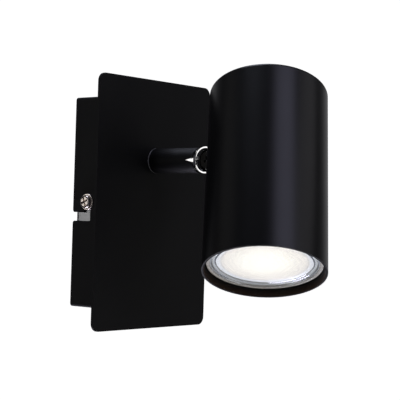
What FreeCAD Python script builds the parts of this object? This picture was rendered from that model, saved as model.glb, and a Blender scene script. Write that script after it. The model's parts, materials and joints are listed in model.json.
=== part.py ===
import FreeCAD, Part
import math
import os

os.makedirs("parts", exist_ok=True)

# Pivoting spotlight wall light, in millimetres.
# X runs along the wall, -Y comes out of it, +Z is up.
# The origin is the centre of the canopy on the wall plane.

# Front plate and canopy
plate_width = 80.0
plate_height = 120.0
plate_thickness = 1.2
plate_corner = 4.0
canopy_width = 60.0
canopy_height = 100.0
canopy_depth = 24.0
canopy_wall = 1.0
canopy_corner = 1.5
canopy_front_edge = 0.8

# Bayonet slots in the canopy's two sides
side_screw_inset = 9.5
slot_play = 0.2
entry_height = 4.1
entry_drop = 7.0
entry_mouth = 1.2
entry_corner = 0.4

# Wall bracket
bracket_thickness = 1.5
bracket_width = 22.0
bracket_bend = 3.0
bracket_play = 0.1
leg_depth = 16.0
leg_corner = 3.0
tongue_width = 24.0
tongue_drop = 42.0
wall_slot_width = 5.0
wall_slot_length = 12.0
wall_slot_spacing = 36.0

# Small screws, washers and tags
thread_gap = 0.05
m4_radius = 2.0
m4_head_radius = 4.0
m4_head_height = 2.2
m4_flange = 0.7
m4_dome_radius = 3.2
m4_crown = 1.1
side_screw_length = 7.5
cross_length = 4.6
cross_width = 1.1
cross_depth = 1.4
cross_turn = 20.0
slot_width_m3 = 0.8
slot_depth_m3 = 0.7
m3_radius = 1.5
m3_head_radius = 2.8
m3_head_height = 1.6
tag_radius = 3.6
tag_thickness = 0.6
tag_overlap = 0.8
tag_neck = 2.4
tag_barrel = 5.0
tag_crimp = 3.6
wall_tag_angle = 35.0
head_tag_angle = 180.0

# Arm
arm_height = 21.0
arm_radius = 6.0
arm_wall = 1.0
arm_chamfer = 0.4
pipe_wall = 1.4
pipe_play = 0.15
nipple_engagement = 8.0
nipple_tail = 7.0
stem_length = 9.0
notch_depth = 4.0
notch_mouth = 2.4
nut_flats = 13.0
nut_thickness = 3.0
tooth_washer_radius = 9.0
tooth_washer_thickness = 0.8
tooth_count = 12
tooth_depth = 1.2

# Knuckle joint
knuckle_reach = 60.0
knuckle_radius = 6.5
knuckle_half = 4.5
knuckle_gap = 0.3
lap_gap = 0.05
rim_width = 0.9
rim_round = 0.3
recess_depth = 2.6
recess_taper = 1.1
knuckle_web = 0.9
pivot_boss_radius = 3.0
pivot_play = 0.06
pivot_head_radius = 4.3
pivot_head_height = 1.0
pivot_washer_radius = 4.3
pivot_washer_thickness = 0.5
pivot_nut_flats = 7.0
pivot_nut_thickness = 1.8
lead_gate = 6.4

# Head
head_offset = 34.0
head_radius = 27.0
head_wall = 1.0
head_top = 22.5
head_bottom = 66.5
head_edge = 1.4
seat_depth = 1.5
seat_play = 0.6
stub_play = 0.08
stub_tail = 0.6
stub_washer_radius = 6.5
stub_washer_thickness = 0.8

# Holder inside the head
holder_strip = 1.2
holder_strip_width = 16.0
holder_neck_width = 10.0
holder_bend = 2.4
holder_radius = 13.2
holder_height = 20.8
holder_skin = 2.4
holder_screw_spacing = 17.0
holder_screw_length = 7.0
holder_foot_drop = 16.0
foot_hole_height = 4.5
holder_back = 4.0
holder_shoulder = 1.0
holder_edge = 0.8
chamber_depth = 10.0

# Sprung contacts in the holder
contact_length = 3.4
contact_width = 3.6
contact_sheet = 0.5
contact_rise = 1.6
contact_gap = 0.35

# Twin-pin lamp, 50 mm across
lamp_radius = 25.0
lamp_recess = 3.5
lamp_length = 50.0
lamp_rim_height = 2.6
glass_wall = 1.3
bowl_fullness = 0.72
neck_overlap = 2.0
front_glass_thickness = 1.4
optic_radius = 21.0
pane_set_back = 0.2
pane_step = 0.5
pane_ridge = 23.0
pane_ridge_width = 0.9
optic_gap = 0.6
optic_depth = 13.0
optic_rim = 2.0
driver_length = 20.0
driver_wall_gap = 0.8
lamp_base_radius = 11.5
lamp_base_length = 13.0
lamp_base_play = 0.2
base_flat = 1.2
pin_spacing = 10.0
pin_radius = 1.6
pin_head_radius = 2.5
pin_length = 7.0
pin_head_length = 2.8
pin_play = 0.3
pin_twist = 30.0

# Terminals and leads
terminal_pitch = 9.5
terminal_height = 16.0
terminal_depth = 9.0
tower_depth = 4.0
tower_radius = 3.2
tower_bore = 1.9
fixing_head_radius = 2.2
clamp_inset = 1.0
terminal_top = -24.0
terminal_bore = 1.7
insert_radius = 2.4
insert_play = 0.1
earth_screw_height = -16.0
earth_head_radius = 3.6
lead_radius = 0.9
lead_spread = 2.1
lead_drop = 0.6
lead_grip = 5.0
lead_rise = 20.0
lead_behind = 4.5
earth_lead_height = 1.8
earth_lead_side = 8.0
earth_lead_run = 3.0
head_lead_start = 1.5
head_lead_turn = 3.2
head_lead_side = 7.6
head_lead_step = 6.0
head_lead_over = 9.0
head_lead_socket = 4.0
head_earth_drop = 2.2
head_earth_side = 11.2
head_earth_fall = 5.0

# How the photographed light is aimed
tilt_angle = 17.0
turn_angle = 21.0

# How closely two lengths must agree to count as the same edge
same = 0.01

# Places that follow from the sizes above
m4_clearance = m4_radius + thread_gap
m3_clearance = m3_radius + thread_gap
plate_front = -(canopy_depth + plate_thickness)
canopy_inside = -(canopy_depth - canopy_wall)
arm_end = -(knuckle_reach - knuckle_radius - knuckle_gap)
pipe_radius = arm_radius - arm_wall
pipe_bore = pipe_radius - pipe_wall
seat_plane = head_radius - seat_depth
seat_inside = seat_plane - head_wall
seat_radius = arm_radius + seat_play
stub_shoulder = head_offset - seat_plane - lap_gap
lamp_face = -(head_bottom - lamp_recess)
lamp_top = lamp_face + lamp_length
holder_top = lamp_top + holder_height
leg_outside = canopy_width / 2 - canopy_wall - bracket_play
slot_width = 2 * (m4_radius + slot_play / 2)
terminal_width = 2 * terminal_pitch
stub_length = head_wall + holder_strip + stub_washer_thickness + nut_thickness + stub_tail
stub_end = seat_plane - stub_length
clamp_axis = -(bracket_thickness + terminal_depth / 2)

ORIGIN = FreeCAD.Vector(0, 0, 0)
RIGHT = FreeCAD.Vector(1, 0, 0)
OUT = FreeCAD.Vector(0, -1, 0)
UP = FreeCAD.Vector(0, 0, 1)
KNUCKLE = FreeCAD.Vector(0, -knuckle_reach, arm_height)


def point(x, y, z):
    return FreeCAD.Vector(x, y, z)


def rounded_wire(points, radii, closed=True):
    """Straight runs through the points, with a tangent arc of the given radius at each corner."""
    count = len(points)
    stops = []
    for i in range(count):
        here = points[i]
        open_end = not closed and i in (0, count - 1)
        if radii[i] == 0 or open_end:
            stops.append((here, None, here))
            continue
        back = (points[i - 1] - here).normalize()
        ahead = (points[(i + 1) % count] - here).normalize()
        half = back.getAngle(ahead) / 2
        reach = radii[i] / math.tan(half)
        middle = here + (back + ahead).normalize() * (radii[i] / math.sin(half) - radii[i])
        stops.append((here + back * reach, middle, here + ahead * reach))
    edges = []
    for i in range(count):
        start, middle, end = stops[i]
        if middle is not None:
            edges.append(Part.Arc(start, middle, end).toShape())
        last = not closed and i == count - 1
        following = stops[(i + 1) % count][0]
        if not last and end.distanceToPoint(following) > 1e-6:
            edges.append(Part.LineSegment(end, following).toShape())
    return Part.Wire(edges)


def slab(points, radii, along):
    """A flat outline with rounded corners, pushed along a vector."""
    return Part.Face(rounded_wire(points, radii)).extrude(along)


def spun(profile, radii, axis_point=ORIGIN, axis=UP):
    """A closed profile turned a full circle round an axis."""
    return Part.Face(rounded_wire(profile, radii)).revolve(axis_point, axis, 360)


def rod(radius, start, along, length):
    return Part.makeCylinder(radius, length, start, along)


def ring(outer, inner, start, along, length):
    return rod(outer, start, along, length).cut(rod(inner, start, along, length))


def block(width, depth, height, centre):
    """A box given by its sizes along X, Y and Z and its centre."""
    corner = centre - point(width / 2, depth / 2, height / 2)
    return Part.makeBox(width, depth, height, corner)


def hexagon(flats, start, along, length):
    """A hexagonal bar between two planes, flat to flat along one side."""
    corner = flats / math.sqrt(3)
    points = []
    for i in range(6):
        angle = math.radians(60 * i)
        points.append(point(corner * math.cos(angle), corner * math.sin(angle), 0))
    bar = Part.Face(Part.makePolygon(points + points[:1])).extrude(UP * length)
    bar.Placement = FreeCAD.Placement(start, FreeCAD.Rotation(UP, along))
    return bar


def hex_nut(flats, hole_radius, start, along, thickness):
    """A hexagonal nut with its outer corners turned off on both faces."""
    corner = flats / math.sqrt(3)
    ease = corner - flats / 2
    turned = Part.makeCone(corner - ease, corner, ease / 2, start, along)
    turned = turned.fuse(rod(corner, start + along * (ease / 2), along, thickness - ease))
    top = start + along * (thickness - ease / 2)
    turned = turned.fuse(Part.makeCone(corner, corner - ease, ease / 2, top, along))
    nut = hexagon(flats, start, along, thickness).common(turned)
    return nut.cut(rod(hole_radius, start, along, thickness)).removeSplitter()


def upright(shape, seat, along):
    """From standing on Z = 0 to standing on the seat, pointing along a vector."""
    shape.Placement = FreeCAD.Placement(seat, FreeCAD.Rotation(UP, along))
    return shape


def cross_cut(top):
    """The cross pressed into a screw head whose top is at that height."""
    bars = []
    for turn in (cross_turn, cross_turn + 90):
        bar = block(cross_length, cross_width, 2 * cross_depth, ORIGIN)
        bar.rotate(ORIGIN, UP, turn)
        bars.append(bar)
    cut = bars[0].fuse(bars[1])
    cut.translate(UP * top)
    return cut


def flanged_screw(head_radius, length, seat, inward):
    """An M4 screw with a domed head on its own flange; its shank runs inward from the seat."""
    profile = [ORIGIN, point(head_radius, 0, 0), point(head_radius, 0, m4_flange),
               point(m4_dome_radius, 0, m4_flange), point(m4_dome_radius, 0, m4_head_height),
               point(0, 0, m4_head_height)]
    body = spun(profile, [0, 0, m4_flange / 2, 0, m4_crown, 0]).cut(cross_cut(m4_head_height))
    body = body.fuse(rod(m4_radius, ORIGIN, UP * -1, length)).removeSplitter()
    return upright(body, seat, inward * -1)


def cheese_screw(head_radius, head_height, length, seat, inward):
    """An M4 screw with a flat-topped head, its top edge broken."""
    ease = head_height / 4
    profile = [ORIGIN, point(head_radius, 0, 0), point(head_radius, 0, head_height - ease),
               point(head_radius - ease, 0, head_height), point(0, 0, head_height)]
    body = spun(profile, [0] * 5).cut(cross_cut(head_height))
    body = body.fuse(rod(m4_radius, ORIGIN, UP * -1, length)).removeSplitter()
    return upright(body, seat, inward * -1)


def slotted_m3(head_radius, head_height, length):
    """An M3 screw standing head up on Z = 0, with a straight slot."""
    body = rod(head_radius, ORIGIN, UP, head_height)
    body = body.fuse(rod(m3_radius, ORIGIN, UP * -1, length))
    slot = block(2 * head_radius, slot_width_m3, 2 * slot_depth_m3, UP * head_height)
    return body.cut(slot)


def lead(points):
    """A round insulated lead: straight runs joined by tangent arcs as large as the runs allow."""
    bends = [0]
    for before, here, after in zip(points, points[1:], points[2:]):
        shorter = min(before.distanceToPoint(here), here.distanceToPoint(after))
        turn = (here - before).getAngle(after - here)
        bends.append(0.45 * shorter / math.tan(turn / 2))
    path = rounded_wire(points, bends + [0], closed=False)
    section = Part.Wire(Part.makeCircle(lead_radius, points[0], points[1] - points[0]))
    return path.makePipeShell([section], True, False)


def arc_slot(radius, middle_angle, sweep, half_width, low, height):
    """A slot bent round the Z axis, with round ends."""
    first = math.radians(middle_angle - sweep / 2)
    last = math.radians(middle_angle + sweep / 2)
    band = Part.makeCylinder(radius + half_width, height, point(0, 0, low), UP, sweep)
    band = band.cut(rod(radius - half_width, point(0, 0, low), UP, height))
    band.rotate(ORIGIN, UP, middle_angle - sweep / 2)
    for angle in (first, last):
        end = point(radius * math.cos(angle), radius * math.sin(angle), low)
        band = band.fuse(rod(half_width, end, UP, height))
    return band


def tilted(shape):
    """From the straight pose to the photographed tilt, bottom end outward."""
    shape.rotate(KNUCKLE, RIGHT, -tilt_angle)
    return shape


def aimed(shape):
    """From head coordinates, with the head's axis on Z, to the photographed aim."""
    shape.translate(KNUCKLE + OUT * head_offset)
    shape.rotate(KNUCKLE, OUT * -1, turn_angle)
    return tilted(shape)


# ---------------------------------------------------------------- wall side


def rounded_sheet(width, height, corner, front, thickness):
    """An upright sheet with round corners; its back face lies at front + thickness."""
    x = width / 2
    z = height / 2
    corners = [point(-x, front, -z), point(x, front, -z), point(x, front, z), point(-x, front, z)]
    return slab(corners, [corner] * 4, point(0, thickness, 0))


def make_front_plate():
    plate = rounded_sheet(plate_width, plate_height, plate_corner, plate_front, plate_thickness)
    hole = rod(pipe_radius + pipe_play, point(0, plate_front, arm_height), OUT * -1, plate_thickness)
    return plate.cut(hole)


def bayonet_slot(side):
    """The L-shaped way in for a side screw: in from the back edge, then up to its seat."""
    inner = canopy_width / 2 - 2 * canopy_wall
    start = side * inner
    reach = side * 3 * canopy_wall
    low = -entry_drop - entry_height / 2
    high = -entry_drop + entry_height / 2
    rear = -(side_screw_inset - slot_width / 2)
    front = -(side_screw_inset + slot_width / 2)
    path = [point(start, canopy_wall, low), point(start, front, low),
            point(start, front, slot_width / 2), point(start, rear, slot_width / 2),
            point(start, rear, high), point(start, canopy_wall, high)]
    end = slot_width / 2 - same
    return slab(path, [0, entry_corner, end, end, 0, 0], point(reach, 0, 0))


def make_canopy():
    body = rounded_sheet(canopy_width, canopy_height, canopy_corner, -canopy_depth, canopy_depth)
    front_edges = [edge for edge in body.Edges
                   if abs(edge.BoundBox.YMin + canopy_depth) < same
                   and edge.BoundBox.YLength < same]
    body = body.makeFillet(canopy_front_edge, front_edges)
    hollow_corner = canopy_corner - canopy_wall
    hollow = rounded_sheet(canopy_width - 2 * canopy_wall, canopy_height - 2 * canopy_wall,
                           hollow_corner, canopy_inside, -canopy_inside)
    body = body.cut(hollow)
    body = body.cut(rod(pipe_radius + pipe_play, point(0, -canopy_depth, arm_height),
                        OUT * -1, canopy_depth))
    for side in (-1, 1):
        body = body.cut(bayonet_slot(side))
    mouth_heights = (-entry_drop - entry_height / 2, -entry_drop + entry_height / 2)
    mouths = [edge for edge in body.Edges
              if abs(edge.BoundBox.YMax) < same and edge.BoundBox.YLength < same
              and abs(edge.BoundBox.XLength - canopy_wall) < same
              and min(abs(edge.CenterOfMass.z - height) for height in mouth_heights) < same]
    return body.makeFillet(entry_mouth, mouths)


def make_wall_bracket():
    x = leg_outside
    t = bracket_thickness
    low = -bracket_width / 2
    outline = [point(-x, -leg_depth, low), point(-x, 0, low), point(x, 0, low),
               point(x, -leg_depth, low), point(x - t, -leg_depth, low), point(x - t, -t, low),
               point(-x + t, -t, low), point(-x + t, -leg_depth, low)]
    bends = [0, bracket_bend, bracket_bend, 0, 0, bracket_bend - t, bracket_bend - t, 0]
    body = slab(outline, bends, UP * bracket_width)
    tips = [edge for edge in body.Edges
            if abs(edge.BoundBox.YMax + leg_depth) < same
            and abs(edge.BoundBox.XLength - t) < same]
    body = body.makeFillet(leg_corner, tips)
    half = tongue_width / 2
    tongue = slab([point(-half, -t, -tongue_drop), point(half, -t, -tongue_drop),
                   point(half, -t, 0), point(-half, -t, 0)],
                  [leg_corner, leg_corner, 0, 0], point(0, t, 0))
    body = body.fuse(tongue)
    for side in (-1, 1):
        body = body.cut(rod(m4_clearance, point(0, -side_screw_inset, 0), RIGHT * side, x + 1))
        middle = side * wall_slot_spacing / 2
        run = wall_slot_length - wall_slot_width
        for end in (-run / 2, run / 2):
            body = body.cut(rod(wall_slot_width / 2, point(middle + end, -t, 0), OUT * -1, t))
        body = body.cut(block(run, t, wall_slot_width, point(middle, -t / 2, 0)))
    body = body.cut(rod(m4_clearance, point(0, -t, earth_screw_height), OUT * -1, t))
    fixing = point(0, -t, terminal_top - terminal_height / 2)
    body = body.cut(rod(m3_clearance, fixing, OUT * -1, t))
    return body.removeSplitter()


def make_side_screws():
    screws = []
    for side in (-1, 1):
        seat = point(side * canopy_width / 2, -side_screw_inset, 0)
        screws.append(flanged_screw(m4_head_radius, side_screw_length, seat, RIGHT * -side))
    return Part.makeCompound(screws)


def make_arm_tube():
    start = point(0, plate_front, arm_height)
    length = plate_front - arm_end
    body = ring(arm_radius, pipe_radius + thread_gap, start, OUT, length)
    foot = [edge for edge in body.Edges
            if abs(edge.CenterOfMass.y - plate_front) < same
            and abs(edge.Length - 2 * math.pi * arm_radius) < same]
    body = body.makeChamfer(arm_chamfer, foot)
    return body.cut(notch_wedge(notch_mouth, notch_depth)).removeSplitter()


def notch_wedge(mouth, depth):
    """The V cut in the arm tube's end, on the side of the joint's screw head."""
    out = arm_radius + 1
    corners = [point(-out, arm_end, arm_height - mouth / 2),
               point(-out, arm_end + depth, arm_height),
               point(-out, arm_end, arm_height + mouth / 2)]
    return slab(corners, [0, 0, 0], RIGHT * out)


def make_arm_nipple():
    start = point(0, plate_front - nipple_engagement, arm_height)
    length = nipple_engagement + plate_thickness + canopy_wall + nipple_tail
    return ring(pipe_radius, pipe_bore, start, OUT * -1, length)


def make_tooth_washer():
    """A washer with its rim cut into small teeth that bite the painted sheet."""
    start = point(0, canopy_inside, arm_height)
    body = ring(tooth_washer_radius, pipe_radius + pipe_play, start, OUT * -1,
                tooth_washer_thickness)
    gap = math.pi * tooth_washer_radius / tooth_count
    for i in range(tooth_count):
        cut = block(gap, 2 * tooth_washer_thickness, 2 * tooth_depth,
                    start + point(0, tooth_washer_thickness, tooth_washer_radius))
        cut.rotate(start, OUT, 360 * i / tooth_count)
        body = body.cut(cut)
    return body


def make_nipple_nut():
    start = point(0, canopy_inside + tooth_washer_thickness, arm_height)
    return hex_nut(nut_flats, pipe_radius + thread_gap, start, OUT * -1, nut_thickness)


# ------------------------------------------------------------------ knuckle


def half_joint(side):
    """One half of the lap joint, its neck towards +Y: disc, rimmed recess, screw boss, lead way.

    side is -1 for the half on the left of the lap plane and 1 for the right one.
    """
    lap = side * lap_gap / 2
    across = RIGHT * side
    thick = knuckle_half - lap_gap / 2
    disc = rod(knuckle_radius, KNUCKLE + point(lap, 0, 0), across, thick)
    outer_rim = [edge for edge in disc.Edges
                 if abs(abs(edge.CenterOfMass.x) - knuckle_half) < same]
    disc = disc.makeFillet(rim_round, outer_rim)
    neck_length = knuckle_radius + knuckle_gap
    neck = rod(arm_radius, KNUCKLE, OUT * -1, neck_length)
    slice_width = knuckle_half - rim_round - lap_gap / 2
    middle = lap + side * slice_width / 2
    slice_box = block(slice_width, 2 * neck_length, 4 * arm_radius, KNUCKLE + point(middle, 0, 0))
    body = disc.fuse(neck.common(slice_box))
    recess = KNUCKLE + point(side * (knuckle_half - recess_depth), 0, 0)
    mouth = knuckle_radius - rim_width
    body = body.cut(Part.makeCone(mouth - recess_taper, mouth, recess_depth, recess, across))
    web = knuckle_half - recess_depth - knuckle_web
    way = ring(mouth, pivot_boss_radius, KNUCKLE, across, web)
    gate = block(2 * web, 2 * neck_length, lead_gate, KNUCKLE + point(0, neck_length, 0))
    gate = gate.cut(rod(knuckle_radius - 2 * rim_width, KNUCKLE + RIGHT * -web, RIGHT, 2 * web))
    body = body.cut(way).cut(gate)
    return body.cut(rod(m4_radius + pivot_play, KNUCKLE + RIGHT * -knuckle_half, RIGHT,
                        2 * knuckle_half))


def make_knuckle_fork():
    """The arm's half of the joint, its stem in the tube and a sloping key in the tube's notch."""
    face = point(0, arm_end, arm_height)
    stem = ring(pipe_radius, pipe_bore, face, OUT * -1, stem_length)
    depth = notch_depth - 2 * thread_gap
    shell = Part.makeCone(pipe_radius + thread_gap, arm_radius, depth, face, OUT * -1)
    shell = shell.cut(rod((pipe_radius + pipe_bore) / 2, face, OUT * -1, depth))
    key = notch_wedge(notch_mouth - 2 * thread_gap, depth).common(shell)
    return half_joint(-1).fuse(stem).fuse(key).removeSplitter()


def make_knuckle_eye():
    """The head's half of the joint: its neck points out, with a shoulder and a threaded stub."""
    body = half_joint(1)
    body.rotate(KNUCKLE, RIGHT, 180)
    body = body.mirror(KNUCKLE, UP)
    shoulder_start = KNUCKLE + OUT * (knuckle_radius + knuckle_gap)
    shoulder = stub_shoulder - knuckle_radius - knuckle_gap
    body = body.fuse(ring(arm_radius, pipe_bore, shoulder_start, OUT, shoulder))
    stub = ring(pipe_radius, pipe_bore, KNUCKLE + OUT * stub_shoulder, OUT,
                stub_length + 2 * lap_gap)
    return tilted(body.fuse(stub).removeSplitter())


def make_pivot_screw():
    """Low cheese-head screw through both halves, seen in the rimmed recess."""
    seat = KNUCKLE + RIGHT * -(knuckle_half - recess_depth)
    length = 2 * (knuckle_half - recess_depth) + pivot_washer_thickness + pivot_nut_thickness
    return cheese_screw(pivot_head_radius, pivot_head_height, length + lap_gap, seat, RIGHT)


def make_pivot_washer():
    start = KNUCKLE + RIGHT * (knuckle_half - recess_depth + lap_gap)
    return ring(pivot_washer_radius, m4_clearance, start, RIGHT, pivot_washer_thickness)


def make_pivot_nut():
    face = knuckle_half - recess_depth + lap_gap + pivot_washer_thickness
    return hex_nut(pivot_nut_flats, m4_clearance, KNUCKLE + RIGHT * face, RIGHT,
                   pivot_nut_thickness)


def make_stub_washer():
    start = KNUCKLE + OUT * (head_offset - seat_inside + holder_strip + lap_gap)
    return tilted(ring(stub_washer_radius, pipe_radius + thread_gap, start, OUT,
                       stub_washer_thickness))


def make_stub_nut():
    face = head_offset - seat_inside + holder_strip + lap_gap + stub_washer_thickness
    return tilted(hex_nut(nut_flats, pipe_radius + thread_gap, KNUCKLE + OUT * face, OUT,
                          nut_thickness))


# ---------------------------------------------------------------- terminals


def clamp_places():
    """Each clamp screw's place along X and Z: two on each pole."""
    middle = terminal_top - terminal_height / 2
    step = terminal_height / 4
    return [(side * terminal_pitch / 2, z) for side in (-1, 1) for z in (middle - step, middle + step)]


def make_terminal_block():
    """Two-pole block: a base, a round screw tower over each clamp, a bore along each pole."""
    middle = terminal_top - terminal_height / 2
    body = block(terminal_width, terminal_depth, terminal_height, point(0, clamp_axis, middle))
    for x, z in clamp_places():
        foot = point(x, clamp_axis, z)
        body = body.fuse(rod(tower_radius, foot, OUT, terminal_depth / 2 + tower_depth))
    for side in (-1, 1):
        end = point(side * terminal_pitch / 2, clamp_axis, terminal_top)
        body = body.cut(rod(insert_radius + insert_play, end, UP * -1, terminal_height))
    for x, z in clamp_places():
        body = body.cut(rod(tower_bore, point(x, clamp_axis, z), OUT, terminal_depth + tower_depth))
    back = point(0, -bracket_thickness, middle)
    return body.cut(rod(m3_clearance, back, OUT, terminal_depth)).removeSplitter()


def make_terminal_inserts():
    """The two brass clamp tubes inside the block."""
    tubes = []
    for side in (-1, 1):
        end = point(side * terminal_pitch / 2, clamp_axis, terminal_top - clamp_inset)
        tube = ring(insert_radius, terminal_bore, end, UP * -1, terminal_height - 2 * clamp_inset)
        for x, z in clamp_places():
            tube = tube.cut(rod(m3_clearance, point(x, clamp_axis, z), OUT, 2 * insert_radius))
        tubes.append(tube)
    return Part.makeCompound(tubes)


def make_terminal_screws():
    """Four slotted clamp screws, run down into the inserts until they meet the leads."""
    screws = []
    length = terminal_depth / 2 + tower_depth - lead_radius - clamp_inset
    for x, z in clamp_places():
        screw = rod(m3_radius, ORIGIN, UP, length)
        screw = screw.cut(block(2 * m3_radius, slot_width_m3, 2 * slot_depth_m3, UP * length))
        tip = point(x, clamp_axis - lead_radius - thread_gap, z)
        screws.append(upright(screw, tip, OUT))
    return Part.makeCompound(screws)


def make_terminal_fixing_screw():
    seat = point(0, -bracket_thickness - terminal_depth, terminal_top - terminal_height / 2)
    body = slotted_m3(fixing_head_radius, m3_head_height, terminal_depth + bracket_thickness)
    return upright(body, seat, OUT)


def make_earth_screw():
    seat = point(0, -bracket_thickness - tag_thickness, earth_screw_height)
    return flanged_screw(earth_head_radius, tag_thickness + bracket_thickness, seat, OUT * -1)


def tag_height():
    """How far a tag's barrel axis stands off the sheet that the tag lies on."""
    return lead_radius + tag_thickness


def ring_tag(place, angle):
    """A crimped ring tag lying on a sheet that faces -Y, its barrel turned up from +X."""
    body = ring(tag_radius, m4_clearance, ORIGIN, UP, tag_thickness)
    middle = point(tag_radius + (tag_barrel - tag_overlap) / 2, 0, tag_thickness / 2)
    body = body.fuse(block(tag_barrel + tag_overlap, tag_neck, tag_thickness, middle))
    start = point(tag_radius + tag_barrel - tag_crimp, 0, tag_height())
    body = body.fuse(rod(tag_height(), start, RIGHT, tag_crimp))
    bore_start = point(tag_radius, 0, tag_height())
    body = body.cut(rod(lead_radius + thread_gap, bore_start, RIGHT, 2 * tag_barrel))
    body = body.removeSplitter()
    body.rotate(ORIGIN, RIGHT, 90)
    body.rotate(ORIGIN, OUT, angle)
    body.translate(place)
    return body


def tag_point(place, angle, reach):
    """A point on a tag's barrel axis, that far from the middle of its ring."""
    turn = math.radians(angle)
    return place + point(reach * math.cos(turn), -tag_height(), reach * math.sin(turn))


def earth_place():
    return point(0, -bracket_thickness, earth_screw_height)


def make_earth_tag():
    return ring_tag(earth_place(), wall_tag_angle)


def wall_side_lead(side):
    """From a clamp up behind the plate, then forward into the nipple and along the arm."""
    x = side * terminal_pitch / 2
    run_x = side * lead_spread
    run_z = arm_height - lead_drop
    return lead([point(x, clamp_axis, terminal_top - lead_grip),
                 point(x, clamp_axis, terminal_top + lead_rise),
                 point(run_x, -lead_behind, run_z),
                 point(run_x, arm_end + lead_radius, run_z)])


def make_lead_earth():
    """From the ring tag on the bracket into the nipple, above the other two leads."""
    place = earth_place()
    tag_end = tag_radius + tag_barrel
    run_z = arm_height + earth_lead_height
    return lead([tag_point(place, wall_tag_angle, tag_end - tag_crimp),
                 tag_point(place, wall_tag_angle, tag_end + earth_lead_run),
                 point(earth_lead_side, -lead_behind, run_z - 2 * earth_lead_side),
                 point(0, -lead_behind, run_z),
                 point(0, arm_end + lead_radius, run_z)])


# --------------------------------------------------------------------- head


def make_head_tube():
    """A drawn can: closed top with a rolled edge, open mouth, a dimple pressed for the joint."""
    r = head_radius
    t = head_wall
    profile = [point(r - t, 0, -head_bottom), point(r, 0, -head_bottom), point(r, 0, head_top),
               point(0, 0, head_top), point(0, 0, head_top - t), point(r - t, 0, head_top - t)]
    inner_edge = head_edge - t
    body = spun(profile, [0, 0, head_edge, 0, 0, inner_edge])
    pad = rod(seat_radius + t, point(0, seat_inside, 0), OUT * -1, seat_depth + t)
    can = rod(r, point(0, 0, -head_bottom), UP, head_top + head_bottom - head_edge)
    body = body.fuse(pad.common(can))
    body = body.cut(rod(seat_radius, point(0, seat_plane, 0), OUT * -1, seat_depth + t))
    hole = rod(pipe_radius + stub_play, point(0, seat_inside - 1, 0), OUT * -1, seat_depth + 3 * t)
    return aimed(body.cut(hole).removeSplitter())


def make_holder_bracket():
    """A strip under the stub nut, bent in over the lampholder, with a foot for the earth tag."""
    outside = seat_inside
    top = holder_top + holder_strip
    back = -holder_screw_spacing / 2 - holder_back
    low = -holder_foot_drop
    x = -holder_strip_width / 2
    outline = [point(x, outside, low), point(x, outside, top), point(x, back, top),
               point(x, back, holder_top), point(x, outside - holder_strip, holder_top),
               point(x, outside - holder_strip, low)]
    bends = [0, holder_bend, 0, 0, holder_bend - holder_strip, 0]
    body = slab(outline, bends, RIGHT * holder_strip_width)
    for side in (-1, 1):
        spare = (holder_strip_width - holder_neck_width) / 2
        middle = side * (holder_neck_width + spare) / 2
        length = outside - holder_bend - holder_shoulder - back
        body = body.cut(block(spare, length, 4 * holder_strip,
                              point(middle, back + length / 2, holder_top)))
        hole = point(0, side * holder_screw_spacing / 2, holder_top)
        body = body.cut(rod(m3_clearance, hole, UP, holder_strip))
    body = body.cut(rod(pipe_radius + stub_play, point(0, outside - 2 * holder_strip, 0),
                        OUT * -1, 3 * holder_strip))
    foot_hole = foot_place() + OUT * holder_strip
    body = body.cut(rod(m4_clearance, foot_hole, OUT * -1, 3 * holder_strip))
    return aimed(body.removeSplitter())


def pin_angles():
    """The lamp's two pins, across the head from left to right."""
    return (0, 180)


def make_lampholder():
    """A round ceramic holder with a keyhole way for each pin and a chamber behind it."""
    body = rod(holder_radius, point(0, 0, lamp_top), UP, holder_height)
    edges = [edge for edge in body.Edges
             if abs(edge.Length - 2 * math.pi * holder_radius) < same]
    body = body.makeFillet(holder_edge, edges)
    for angle in pin_angles():
        middle = angle - pin_twist / 2
        body = body.cut(arc_slot(pin_spacing / 2, middle, pin_twist, pin_radius + pin_play,
                                 lamp_top - 1, holder_skin + 1))
        body = body.cut(arc_slot(pin_spacing / 2, middle, pin_twist, pin_head_radius + pin_play,
                                 lamp_top + holder_skin, chamber_depth - holder_skin))
        entry = math.radians(angle - pin_twist)
        way = point(pin_spacing / 2 * math.cos(entry), pin_spacing / 2 * math.sin(entry),
                    lamp_top - 1)
        body = body.cut(rod(pin_head_radius + pin_play, way, UP, holder_skin + 2))
    for side in (-1, 1):
        hole = point(0, side * holder_screw_spacing / 2, holder_top - holder_screw_length)
        body = body.cut(rod(m3_clearance, hole, UP, holder_screw_length))
        socket = point(side * head_lead_side, 0, holder_top)
        body = body.cut(rod(lead_radius + thread_gap, socket, UP * -1, head_lead_socket))
    return aimed(body)


def make_holder_contacts():
    """A sprung strip in each chamber that the pin's head presses on."""
    strips = []
    for angle in pin_angles():
        seat = point(pin_spacing / 2, 0, lamp_top + pin_length + contact_gap)
        strip = block(contact_length, contact_width, contact_sheet, seat)
        rise = block(contact_sheet, contact_width, contact_rise,
                     seat + point(contact_length / 2, 0, contact_rise / 2))
        contact = strip.fuse(rise)
        contact.rotate(ORIGIN, UP, angle)
        strips.append(contact)
    return aimed(Part.makeCompound(strips))


def make_holder_screws():
    screws = []
    for side in (-1, 1):
        screw = slotted_m3(m3_head_radius, m3_head_height, holder_screw_length)
        screw.translate(point(0, side * holder_screw_spacing / 2, holder_top + holder_strip))
        screws.append(screw)
    return aimed(Part.makeCompound(screws))


def foot_place():
    """The middle of the earth screw on the inner face of the bracket's foot."""
    return point(0, seat_inside - holder_strip, foot_hole_height - holder_foot_drop)


def make_head_earth_screw():
    seat = foot_place() + OUT * tag_thickness
    return aimed(flanged_screw(earth_head_radius, tag_thickness + holder_strip, seat, OUT * -1))


def make_head_earth_tag():
    return aimed(ring_tag(foot_place(), head_tag_angle))


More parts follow.
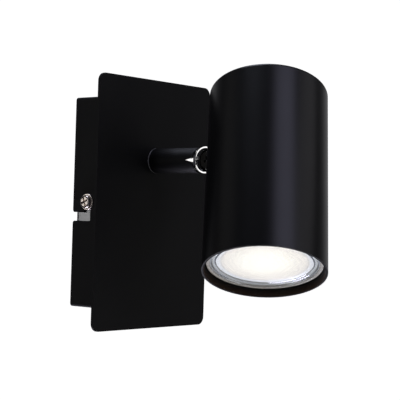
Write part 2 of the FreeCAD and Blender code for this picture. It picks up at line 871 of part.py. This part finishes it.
def head_lead(side):
    """From inside the stub up past the bracket's neck, over, and down into the lampholder."""
    start = seat_plane - head_lead_start
    turn = stub_end - head_lead_turn
    x = side * head_lead_side
    over = holder_top + head_lead_over
    return aimed(lead([point(side * lead_spread, start, -lead_drop),
                       point(side * lead_spread, turn, -lead_drop),
                       point(x, turn, head_lead_step),
                       point(x, holder_radius, over),
                       point(x, 0, over),
                       point(x, 0, holder_top - head_lead_socket + thread_gap)]))


def make_head_lead_earth():
    """From inside the stub round beside the lampholder to the tag on the bracket's foot."""
    turn = stub_end - head_lead_turn
    foot = foot_place()
    tag_end = tag_radius + tag_barrel
    crimped = tag_point(foot, head_tag_angle, tag_end - tag_crimp)
    return aimed(lead([point(0, seat_plane - head_lead_start, -head_earth_drop),
                       point(0, turn, -head_earth_drop),
                       point(-head_earth_side, turn, -head_earth_drop - head_earth_fall),
                       point(-head_earth_side, crimped.y, crimped.z),
                       crimped]))


# --------------------------------------------------------------------- lamp


def bulb_profile(inset):
    """Half outline of the lamp's glass, from its rim up to its neck, moved in by inset."""
    r = lamp_radius - inset
    neck = lamp_base_radius + glass_wall + lamp_base_play - inset
    low = lamp_face
    shoulder = low + lamp_rim_height
    top = lamp_top - lamp_base_length + neck_overlap
    bulge = point(neck + (r - neck) * bowl_fullness, 0, (shoulder + top) / 2)
    return point(r, 0, low), point(r, 0, shoulder), bulge, point(neck, 0, top)


def make_lamp_glass():
    """The pressed glass cup, a short straight rim and then a bowl down to its neck."""
    low, shoulder, bulge, neck = bulb_profile(0)
    low_in, shoulder_in, bulge_in, neck_in = bulb_profile(glass_wall)
    edges = [Part.LineSegment(low, shoulder).toShape(),
             Part.Arc(shoulder, bulge, neck).toShape(),
             Part.LineSegment(neck, neck_in).toShape(),
             Part.Arc(neck_in, bulge_in, shoulder_in).toShape(),
             Part.LineSegment(shoulder_in, low_in).toShape(),
             Part.LineSegment(low_in, low).toShape()]
    return aimed(Part.Face(Part.Wire(edges)).revolve(ORIGIN, UP, 360))


def make_lamp_front_glass():
    """The clear front pane: a raised middle over the lens, and a pressed ridge in its margin."""
    r = lamp_radius - glass_wall - insert_play
    low = lamp_face + pane_set_back
    margin = low + pane_step
    ridge_in = pane_ridge - pane_ridge_width / 2
    ridge_out = pane_ridge + pane_ridge_width / 2
    profile = [point(0, 0, low), point(optic_radius, 0, low),
               point(optic_radius + pane_step, 0, margin), point(ridge_in, 0, margin),
               point(pane_ridge, 0, low), point(ridge_out, 0, margin), point(r, 0, margin),
               point(r, 0, low + front_glass_thickness), point(0, 0, low + front_glass_thickness)]
    return aimed(spun(profile, [0] * len(profile)))


def optic_low():
    return lamp_face + pane_set_back + front_glass_thickness + optic_gap


def make_lamp_optic():
    """The frosted lens body behind the pane, narrowing back to the light source."""
    low = optic_low()
    margin = lamp_base_radius - optic_rim
    profile = [point(0, 0, low), point(optic_radius, 0, low), point(optic_radius, 0, low + optic_rim),
               point(margin, 0, low + optic_depth), point(0, 0, low + optic_depth)]
    return aimed(spun(profile, [0, 0, 0, optic_rim, 0]))


def make_lamp_driver():
    """The metal core behind the lens that holds the light source and its driver."""
    low = optic_low() + optic_depth
    high = lamp_top - lamp_base_length
    r = lamp_base_radius - driver_wall_gap
    profile = [point(0, 0, low), point(r, 0, low), point(r - 1, 0, high), point(0, 0, high)]
    return aimed(spun(profile, [0] * 4))


def make_lamp_base():
    """The white base plugged into the glass neck, with a flat on each side of its top."""
    low = lamp_top - lamp_base_length
    body = rod(lamp_base_radius, point(0, 0, low), UP, lamp_base_length)
    for side in (-1, 1):
        middle = point(0, side * (lamp_base_radius + base_flat), lamp_top - base_flat)
        body = body.cut(block(2 * lamp_base_radius, 4 * base_flat, 4 * base_flat, middle))
    return aimed(body)


def make_lamp_pins():
    pins = []
    for angle in pin_angles():
        start = point(pin_spacing / 2, 0, lamp_top)
        pin = rod(pin_radius, start, UP, pin_length)
        head_start = start + UP * (pin_length - pin_head_length)
        pin = pin.fuse(rod(pin_head_radius, head_start, UP, pin_head_length))
        pin.rotate(ORIGIN, UP, angle)
        pins.append(pin.removeSplitter())
    return aimed(Part.makeCompound(pins))


# -------------------------------------------------------------------- export

nodes = {
    "wall_bracket": make_wall_bracket(),
    "canopy": make_canopy(),
    "side_screws": make_side_screws(),
    "front_plate": make_front_plate(),
    "arm_tube": make_arm_tube(),
    "arm_nipple": make_arm_nipple(),
    "tooth_washer": make_tooth_washer(),
    "nipple_nut": make_nipple_nut(),
    "knuckle_fork": make_knuckle_fork(),
    "pivot_screw": make_pivot_screw(),
    "pivot_washer": make_pivot_washer(),
    "pivot_nut": make_pivot_nut(),
    "terminal_block": make_terminal_block(),
    "terminal_inserts": make_terminal_inserts(),
    "terminal_screws": make_terminal_screws(),
    "terminal_fixing_screw": make_terminal_fixing_screw(),
    "earth_screw": make_earth_screw(),
    "earth_tag": make_earth_tag(),
    "lead_live": wall_side_lead(-1),
    "lead_neutral": wall_side_lead(1),
    "lead_earth": make_lead_earth(),
    "knuckle_eye": make_knuckle_eye(),
    "stub_washer": make_stub_washer(),
    "stub_nut": make_stub_nut(),
    "head_tube": make_head_tube(),
    "holder_bracket": make_holder_bracket(),
    "lampholder": make_lampholder(),
    "holder_contacts": make_holder_contacts(),
    "holder_screws": make_holder_screws(),
    "head_earth_screw": make_head_earth_screw(),
    "head_earth_tag": make_head_earth_tag(),
    "head_lead_live": head_lead(-1),
    "head_lead_neutral": head_lead(1),
    "head_lead_earth": make_head_lead_earth(),
    "lamp_glass": make_lamp_glass(),
    "lamp_front_glass": make_lamp_front_glass(),
    "lamp_optic": make_lamp_optic(),
    "lamp_driver": make_lamp_driver(),
    "lamp_base": make_lamp_base(),
    "lamp_pins": make_lamp_pins(),
}

for name, shape in nodes.items():
    shape.exportStep("parts/" + name + ".step")
    print(name, "solids", len(shape.Solids), "volume", round(shape.Volume, 1), shape.isValid())
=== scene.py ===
import json
import math

import bpy
from mathutils import Matrix, Vector


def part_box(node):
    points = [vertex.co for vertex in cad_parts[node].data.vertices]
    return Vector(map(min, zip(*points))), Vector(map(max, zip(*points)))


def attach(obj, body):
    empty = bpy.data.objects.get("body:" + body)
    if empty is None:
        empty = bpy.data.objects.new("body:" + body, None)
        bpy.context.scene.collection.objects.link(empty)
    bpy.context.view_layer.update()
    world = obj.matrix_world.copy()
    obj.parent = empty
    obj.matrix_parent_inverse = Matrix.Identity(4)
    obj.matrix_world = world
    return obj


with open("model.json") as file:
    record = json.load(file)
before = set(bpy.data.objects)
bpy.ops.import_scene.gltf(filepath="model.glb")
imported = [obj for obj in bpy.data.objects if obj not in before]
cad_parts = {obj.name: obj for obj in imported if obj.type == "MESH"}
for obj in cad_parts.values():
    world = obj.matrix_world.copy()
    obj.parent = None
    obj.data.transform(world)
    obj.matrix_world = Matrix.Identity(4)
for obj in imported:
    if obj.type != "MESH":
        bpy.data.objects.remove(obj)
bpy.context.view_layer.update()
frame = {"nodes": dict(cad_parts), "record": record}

# ---------------------------------------------------------------------------
# Canopy and front plate: a folded box of steel sheet, open to the wall, and a
# flat sheet on its front. Both are powder coated black, satin and very fine
# grained, with the coat a little smoother in some places than in others.


class Signal:
    """One output socket of a node; sums, differences and products of it add Math nodes."""

    def __init__(self, tree, socket):
        self.tree = tree
        self.socket = socket

    def node(self, kind, settings, inputs, output=0):
        """Adds a node: its settings first, then the value or the signal for each input."""
        made = self.tree.nodes.new(kind)
        stops = settings.pop("stops", ())
        for name, value in settings.items():
            setattr(made, name, value)
        for i, (position, colour) in enumerate(stops):
            ramp = made.color_ramp.elements
            stop = ramp[i] if i < 2 else ramp.new(position)
            stop.position = position
            stop.color = (*colour, 1)
        for name, value in inputs.items():
            if isinstance(value, Signal):
                self.tree.links.new(value.socket, made.inputs[name])
            else:
                made.inputs[name].default_value = value
        return Signal(self.tree, made.outputs[output])

    def math(self, operation, first, second=0.0):
        return self.node("ShaderNodeMath", {"operation": operation}, {0: first, 1: second})

    def __add__(self, other):
        return self.math("ADD", self, other)

    def __radd__(self, other):
        return self.math("ADD", other, self)

    def __sub__(self, other):
        return self.math("SUBTRACT", self, other)

    def __rsub__(self, other):
        return self.math("SUBTRACT", other, self)

    def __mul__(self, other):
        return self.math("MULTIPLY", self, other)

    def __rmul__(self, other):
        return self.math("MULTIPLY", other, self)

    def noise(self, grain, detail=2.0):
        """Even noise, one lump about every grain metres."""
        return self.node("ShaderNodeTexNoise", {}, {"Vector": self, "Scale": 1 / grain,
                                                    "Detail": detail})

    def blend(self, first, second):
        """From the first colour to the second as this signal goes from 0 to 1."""
        return self.node("ShaderNodeMix", {"data_type": "RGBA"}, {0: self, 6: first, 7: second},
                         output=2)


def new_finish(name, colour, roughness, **constants):
    """A material with plain values on its shader; returns it, the shader and the place on the piece."""
    material = bpy.data.materials.new(name)
    material.use_nodes = True
    tree = material.node_tree
    shader = tree.nodes["Principled BSDF"]
    shader.inputs["Base Color"].default_value = (*colour, 1)
    shader.inputs["Roughness"].default_value = roughness
    for socket, value in constants.items():
        shader.inputs[socket.replace("_", " ")].default_value = value
    coordinates = tree.nodes.new("ShaderNodeTexCoord")
    return material, shader, Signal(tree, coordinates.outputs["Object"])


def feed(shader, socket, signal):
    """Lets the signal drive that input of the shader."""
    signal.tree.links.new(signal.socket, shader.inputs[socket])


def grain(shader, height, depth):
    """A fine relief on the surface, depth metres from its lows to its highs."""
    relief = height.node("ShaderNodeBump", {}, {"Height": height, "Distance": depth,
                                                "Strength": 1.0})
    feed(shader, "Normal", relief)


def dress(material, *names):
    """Gives the named CAD pieces this material and no other."""
    for name in names:
        mesh = frame["nodes"][name].data
        mesh.materials.clear()
        mesh.materials.append(material)


coat_black = (0.0045, 0.0045, 0.0046)
coat_grain = 0.0006
powder_coat, shader, place = new_finish("black powder coat", coat_black, 0.50,
                                        Specular_IOR_Level=0.32)
patches = place.noise(0.03)
feed(shader, "Roughness", 0.52 + patches * 0.09)
grain(shader, place.noise(coat_grain), 0.000012)
dress(powder_coat, "canopy", "front_plate")

# ---------------------------------------------------------------------------
# Wall bracket and the other zinc-plated steel: holder bracket, nipple, nuts,
# washers, tags and small screws. Strip and rod are rolled and cut before
# plating, so faint level lines run along them, with dull patches from handling.

zinc_bright = (0.74, 0.75, 0.76, 1)
zinc_dull = (0.44, 0.45, 0.47, 1)
zinc_plate, shader, place = new_finish("zinc plate", zinc_bright[:3], 0.34, Metallic=1.0)
rolled = place.node("ShaderNodeMapping", {}, {"Vector": place, "Scale": (0.08, 1.0, 1.0)})
lines = rolled.noise(0.0007, detail=3.0)
clouds = place.noise(0.006, detail=4.0)
feed(shader, "Base Color", clouds.blend(zinc_dull, zinc_bright))
feed(shader, "Roughness", 0.24 + lines * 0.12 + clouds * 0.08)
grain(shader, lines, 0.000008)
dress(zinc_plate, "wall_bracket", "arm_nipple", "tooth_washer", "nipple_nut", "pivot_washer",
      "terminal_screws", "terminal_fixing_screw", "earth_tag", "stub_washer", "stub_nut",
      "holder_bracket", "holder_screws", "head_earth_tag")

# ---------------------------------------------------------------------------
# Side screws, earth screws and the lamp's pins.
# Turned and nickel plated, so a little warmer than the zinc, with a polish
# that varies from spot to spot. The screws have pan heads with a pressed cross.

nickel = (0.78, 0.71, 0.65)
nickel_plate, shader, place = new_finish("nickel plate", nickel, 0.22, Metallic=1.0)
feed(shader, "Roughness", 0.16 + place.noise(0.001) * 0.12)
dress(nickel_plate, "side_screws", "earth_screw", "head_earth_screw", "lamp_pins")

# ---------------------------------------------------------------------------
# Arm tube: a short steel tube, threaded inside at both ends, turned and painted
# black with a shinier coat than the sheet parts. Round its foot a thin light line
# is painted into the colour: a painted highlight for the light its edge catches.

arm_black = (0.0030, 0.0030, 0.0034, 1)
# Colour of the painted highlight round the tube's foot.
arm_foot_highlight = (0.75, 0.75, 0.75, 1)
plate_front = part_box("front_plate")[0].y
foot_highlight_width = 0.0009
arm_paint, shader, place = new_finish("black arm paint", arm_black[:3], 0.50,
                                      Specular_IOR_Level=0.8)
from_plate = plate_front - place.node("ShaderNodeSeparateXYZ", {}, {"Vector": place}, output=1)
# Painted highlight: a light band in the base colour along the tube's foot, next to the plate.
foot_highlight = from_plate.math("LESS_THAN", from_plate, foot_highlight_width)
feed(shader, "Base Color", foot_highlight.blend(arm_black, arm_foot_highlight))
feed(shader, "Roughness", 0.37 + place.noise(0.004) * 0.08)
grain(shader, place.noise(0.0012), 0.000006)
dress(arm_paint, "arm_tube")

# ---------------------------------------------------------------------------
# Knuckle: the two lapped halves, the pivot screw and its nut.
# Die-cast zinc halves, polished and chrome plated, held by a low round screw
# that is blackened all over.

chrome = (0.78, 0.78, 0.79)
chrome_plate, shader, place = new_finish("chrome plate", chrome, 0.06, Metallic=1.0)
feed(shader, "Roughness", 0.04 + place.noise(0.003) * 0.05)
grain(shader, place.noise(0.0022), 0.00004)
dress(chrome_plate, "knuckle_fork", "knuckle_eye", "pivot_nut")

black_oxide, shader, place = new_finish("black oxide", (0.035, 0.034, 0.033), 0.42, Metallic=1.0)
feed(shader, "Roughness", 0.36 + place.noise(0.002) * 0.14)
dress(black_oxide, "pivot_screw")

# ---------------------------------------------------------------------------
# Terminal block, its brass clamps and the lampholder's contacts.
# The block is moulded in off-white polyamide, and the clamps and contacts are
# cut from drawn brass.

block_plastic, shader, place = new_finish("terminal plastic", (0.74, 0.72, 0.66), 0.5)
grain(shader, place.noise(0.0004), 0.00001)
dress(block_plastic, "terminal_block")

brass, shader, place = new_finish("drawn brass", (0.66, 0.47, 0.20), 0.28, Metallic=1.0)
feed(shader, "Roughness", 0.22 + place.noise(0.002) * 0.14)
dress(brass, "terminal_inserts", "holder_contacts")

# ---------------------------------------------------------------------------
# Leads, on the wall side and in the head.
# Sleeved wire: brown for live, blue for neutral, and green and yellow for
# earth. The yellow comes only every 75 mm, so these short leads are mostly green.

sleeve_colours = {"live": (0.13, 0.045, 0.02), "neutral": (0.02, 0.10, 0.42)}
for use, colour in sleeve_colours.items():
    sleeve, shader, place = new_finish("sleeve " + use, colour, 0.42)
    feed(shader, "Roughness", 0.36 + place.noise(0.002) * 0.12)
    dress(sleeve, "lead_" + use, "head_lead_" + use)

earth_green = (0.04, 0.26, 0.05, 1)
earth_yellow = (0.75, 0.62, 0.05, 1)
stripe_repeat = 0.0754
stripe_above = 0.55
# A diagonal wave of scale 1 turns by 10 radians in each metre of x + y + z.
wave_turn = 10
sleeve, shader, place = new_finish("sleeve earth", earth_green[:3], 0.42)
bands = place.node("ShaderNodeTexWave", {"wave_type": "BANDS", "bands_direction": "DIAGONAL"},
                   {"Vector": place, "Scale": 2 * math.pi / wave_turn / stripe_repeat})
stripe = bands.math("GREATER_THAN", bands, stripe_above)
feed(shader, "Base Color", stripe.blend(earth_green, earth_yellow))
dress(sleeve, "lead_earth", "head_lead_earth")

# ---------------------------------------------------------------------------
# Head tube.
# A drawn can with a closed top and an open mouth, sprayed satin black outside,
# smoother than the powder coat, and dull black inside and on the rim's inner half.

tilt_joint = frame["record"]["behaviour"]["joints"][0]
knuckle = Vector(tilt_joint["pos_m"])
tilt_at_rest = math.radians(17)
turn_at_rest = math.radians(21)
aim = Matrix.Rotation(-tilt_at_rest, 4, "X") @ Matrix.Rotation(turn_at_rest, 4, "Y")
head_offset = 0.034
head_axis = (aim @ Vector((0, 0, 1, 0))).xyz
head_middle = knuckle + (aim @ Vector((0, -head_offset, 0, 0))).xyz


def from_head_axis(place):
    """How far each point of the surface is from the head's axis, in metres."""
    beside = place.node("ShaderNodeVectorMath", {"operation": "SUBTRACT"},
                        {0: place, 1: head_middle})
    crossed = place.node("ShaderNodeVectorMath", {"operation": "CROSS_PRODUCT"},
                         {0: beside, 1: head_axis})
    return place.node("ShaderNodeVectorMath", {"operation": "LENGTH"}, {0: crossed}, output=1)


can_black = (0.0030, 0.0030, 0.0033)
can_inner_radius = 0.026
rough_edge = 0.0004
can_paint, shader, place = new_finish("black can paint", can_black, 0.38,
                                      Specular_IOR_Level=0.45)
inside = place.math("LESS_THAN", from_head_axis(place), can_inner_radius + rough_edge)
feed(shader, "Roughness", 0.28 + place.noise(0.02) * 0.06 + inside * 0.66)
grain(shader, place.noise(0.0009), 0.00001)
dress(can_paint, "head_tube")

# ---------------------------------------------------------------------------
# Lampholder.
# A pressed block of glazed ceramic, off-white, with two keyhole ways for the
# lamp's pins.

ceramic, shader, place = new_finish("glazed ceramic", (0.78, 0.75, 0.68), 0.3)
feed(shader, "Roughness", 0.24 + place.noise(0.004) * 0.14)
dress(ceramic, "lampholder")

# ---------------------------------------------------------------------------
# Lamp: glass cup and front pane, the lit lens behind the pane, core and base.
# Clear pressed glass round a frosted lens, which glows warm white with faint
# rings from its moulded steps and lights up the pane's margin a little.

glow_reach = 0.0237
clear_glass, shader, place = new_finish("clear glass", (0.95, 0.97, 0.97), 0.03,
                                        Transmission_Weight=1.0, IOR=1.5,
                                        Emission_Strength=1.0)
feed(shader, "Roughness", 0.01 + place.noise(0.004) * 0.05)
margin_glow = place.node("ShaderNodeValToRGB", {"stops": [
    (0.0, (0.0, 0.0, 0.0)), (0.880, (0.0, 0.0, 0.0)), (0.895, (0.13, 0.14, 0.17)),
    (0.935, (0.12, 0.13, 0.15)), (0.955, (0.02, 0.02, 0.02)), (1.0, (0.0, 0.0, 0.0))]},
    {"Fac": from_head_axis(place) * (1 / glow_reach)})
feed(shader, "Emission Color", margin_glow)
dress(clear_glass, "lamp_front_glass")

cup_glow = 0.07
cup_glass, shader, place = new_finish("pressed cup glass", (0.85, 0.88, 0.9), 0.12,
                                      Transmission_Weight=0.8, IOR=1.5,
                                      Emission_Strength=cup_glow)
streaks = place.noise(0.0012, detail=3.0)
feed(shader, "Emission Color", streaks.blend((0.36, 0.30, 0.24, 1), (1.0, 0.93, 0.84, 1)))
dress(cup_glass, "lamp_glass")

lens_radius = 0.021
lens_step = 0.0022
ring_depth = 0.22
ring_grey = (0.25, 0.25, 0.28, 1)
lens_glow = 1.3
lit_lens, shader, place = new_finish("lit lens", (0.30, 0.29, 0.28), 0.35,
                                     Emission_Strength=lens_glow)
radius = from_head_axis(place)
across = radius * (1 / lens_radius)
glow = across.node("ShaderNodeValToRGB", {"stops": [
    (0.0, (1.0, 0.97, 0.90)), (0.42, (0.97, 0.93, 0.85)), (0.64, (0.86, 0.81, 0.74)),
    (0.86, (0.76, 0.71, 0.66)), (0.895, (0.54, 0.52, 0.50)), (0.93, (0.68, 0.68, 0.71)),
    (1.0, (0.56, 0.58, 0.63))]},
    {"Fac": across})
wobble = place.noise(0.005, detail=2.0) * 0.006
rings = across.math("SINE", (radius + wobble) * (2 * math.pi / lens_step))
shade = 0.5 + rings * 0.5 * across
feed(shader, "Emission Color", (shade * ring_depth).blend(glow, ring_grey))
dress(lit_lens, "lamp_optic")

core_metal, shader, place = new_finish("lamp core metal", (0.7, 0.7, 0.69), 0.35, Metallic=1.0)
feed(shader, "Roughness", 0.3 + place.noise(0.002) * 0.1)
dress(core_metal, "lamp_driver")

base_plastic, shader, place = new_finish("lamp base plastic", (0.82, 0.82, 0.8), 0.35)
grain(shader, place.noise(0.0008), 0.00001)
dress(base_plastic, "lamp_base")

# ---------------------------------------------------------------------------
# The lamp's own light.
# A warm disc just below the front pane, which the camera doesn't see. It lights
# the can's inner wall and rim, and moves with the head.

pane_below_middle = 0.0632
lamp_light = bpy.data.lights.new("lamp light", "AREA")
lamp_light.shape = "DISK"
lamp_light.size = 0.038
lamp_light.energy = 0.012
lamp_light.color = (1.0, 0.45, 0.16)
lamp_lamp = bpy.data.objects.new("lamp light", lamp_light)
bpy.context.scene.collection.objects.link(lamp_lamp)
lamp_lamp.matrix_world = (Matrix.Translation(head_middle - head_axis * pane_below_middle)
                          @ aim)
lamp_lamp.visible_camera = False
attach(lamp_lamp, "head")

# ---------------------------------------------------------------------------
# Studio: a pale floor and backdrop that only the camera sees, and soft boxes.
# Most boxes stand where one surface mirrors them into the camera: the cool box
# draws the band down the head, the top and under boxes the lines on the arm.

camera_target = Vector((0.0360, -0.024, 0.0031))
camera_distance = 0.629056
camera_yaw = math.radians(-50.25)
camera_pitch = math.radians(-0.8395)
camera_roll = math.radians(1.7140)
camera_focal_px = 1239.0
picture_px = 400
film_mm = 36.0

to_camera = Vector((math.sin(camera_yaw) * math.cos(camera_pitch),
                    -math.cos(camera_yaw) * math.cos(camera_pitch),
                    math.sin(camera_pitch)))
level_right = Vector((math.cos(camera_yaw), math.sin(camera_yaw), 0))
level_up = to_camera.cross(level_right)
camera_right = level_right * math.cos(camera_roll) + level_up * math.sin(camera_roll)
camera_up = level_up * math.cos(camera_roll) - level_right * math.sin(camera_roll)

camera_data = bpy.data.cameras.new("camera")
camera_data.sensor_width = film_mm
camera_data.lens = camera_focal_px / picture_px * film_mm
camera_data.clip_start = 0.01
camera = bpy.data.objects.new("camera", camera_data)
bpy.context.scene.collection.objects.link(camera)
facing = Matrix((camera_right, camera_up, to_camera)).transposed()
camera.matrix_world = (Matrix.Translation(camera_target + to_camera * camera_distance)
                       @ facing.to_4x4())
bpy.context.scene.camera = camera

floor_level = -0.9
room = 6.0
bpy.ops.mesh.primitive_circle_add(vertices=64, radius=room, fill_type="NGON",
                                  location=(0, 0, floor_level))
floor = bpy.context.object
floor.name = "floor"
bpy.ops.mesh.primitive_uv_sphere_add(segments=48, ring_count=24, radius=room)
backdrop = bpy.context.object
backdrop.name = "backdrop"
paper, shader, place = new_finish("white paper", (0.9, 0.9, 0.9), 0.9, Emission_Strength=1.0)
shader.inputs["Emission Color"].default_value = (1, 1, 1, 1)
for sheet in (floor, backdrop):
    sheet.data.materials.append(paper)
    sheet.visible_diffuse = False
    sheet.visible_glossy = False
    sheet.visible_transmission = False
    sheet.visible_shadow = False


def soft_box(name, degrees_right, degrees_up, distance, width, height, watts, colour):
    """A soft box seen from the head at those angles from the camera, facing the head."""
    turned = Matrix.Rotation(math.radians(degrees_right), 3, "Z") @ to_camera
    level = Vector((turned.x, turned.y, 0)).normalized()
    rise = math.radians(degrees_up)
    direction = level * math.cos(rise) + Vector((0, 0, 1)) * math.sin(rise)
    light = bpy.data.lights.new(name, "AREA")
    light.shape = "RECTANGLE"
    light.size = width
    light.size_y = height
    light.energy = watts
    light.color = colour
    box = bpy.data.objects.new(name, light)
    bpy.context.scene.collection.objects.link(box)
    box.location = head_middle + direction * distance
    box.rotation_euler = direction.to_track_quat("Z", "Y").to_euler()
    box.visible_camera = False


soft_box("left box", -52.0, 1, 1.3, 0.20, 0.8, 0.72, (1.0, 0.97, 0.95))
soft_box("side strip", -82.5, 3, 1.3, 0.26, 0.30, 0.38, (1.0, 0.98, 0.96))
soft_box("cool box", 43, 47, 1.2, 0.66, 0.9, 2.5, (0.76, 0.75, 1.0))
soft_box("right box", 88, 31, 1.2, 0.9, 0.5, 0.62, (0.96, 0.94, 1.0))
soft_box("level strip", 55, 0, 1.2, 0.24, 1.0, 1.2, (0.92, 0.90, 1.0))
soft_box("plate box", 96, -12, 1.2, 0.8, 0.8, 0.66, (1.0, 0.98, 0.97))
soft_box("high left box", -92, 30, 1.3, 0.7, 0.5, 0.15, (1.0, 0.98, 0.98))
soft_box("top box", -129, 74, 1.2, 0.9, 0.5, 7.0, (0.80, 0.84, 1.0))
soft_box("under box", -122, -74, 1.2, 0.5, 0.5, 13.0, (0.84, 0.82, 1.0))

bpy.context.scene.view_settings.view_transform = "Standard"
world = bpy.data.worlds.new("studio")
bpy.context.scene.world = world
world.use_nodes = True
background = world.node_tree.nodes["Background"]
sky = world.node_tree.nodes.new("ShaderNodeTexCoord")
looking = Signal(world.node_tree, sky.outputs["Generated"])
behind = looking.node("ShaderNodeVectorMath", {"operation": "DOT_PRODUCT"},
                      {0: looking, 1: -to_camera}, output=1)
daylight = behind.node("ShaderNodeValToRGB", {"stops": [
    (0.0, (0.06, 0.06, 0.07)), (0.25, (0.03, 0.03, 0.035)), (0.6, (0.006, 0.006, 0.006)),
    (0.80, (0.05, 0.05, 0.055)), (0.89, (0.28, 0.28, 0.29)), (1.0, (0.45, 0.45, 0.46))]},
    {"Fac": behind * 0.5 + 0.5})
upward = looking.node("ShaderNodeSeparateXYZ", {}, {"Vector": looking}, output=2)
table_light = upward.node("ShaderNodeMapRange", {}, {"Value": upward, "From Min": -0.7,
                                                     "From Max": -0.9, "To Max": 0.12})
lifted = daylight.node("ShaderNodeVectorMath", {"operation": "ADD"}, {0: daylight, 1: table_light})
feed(background, "Color", lifted)
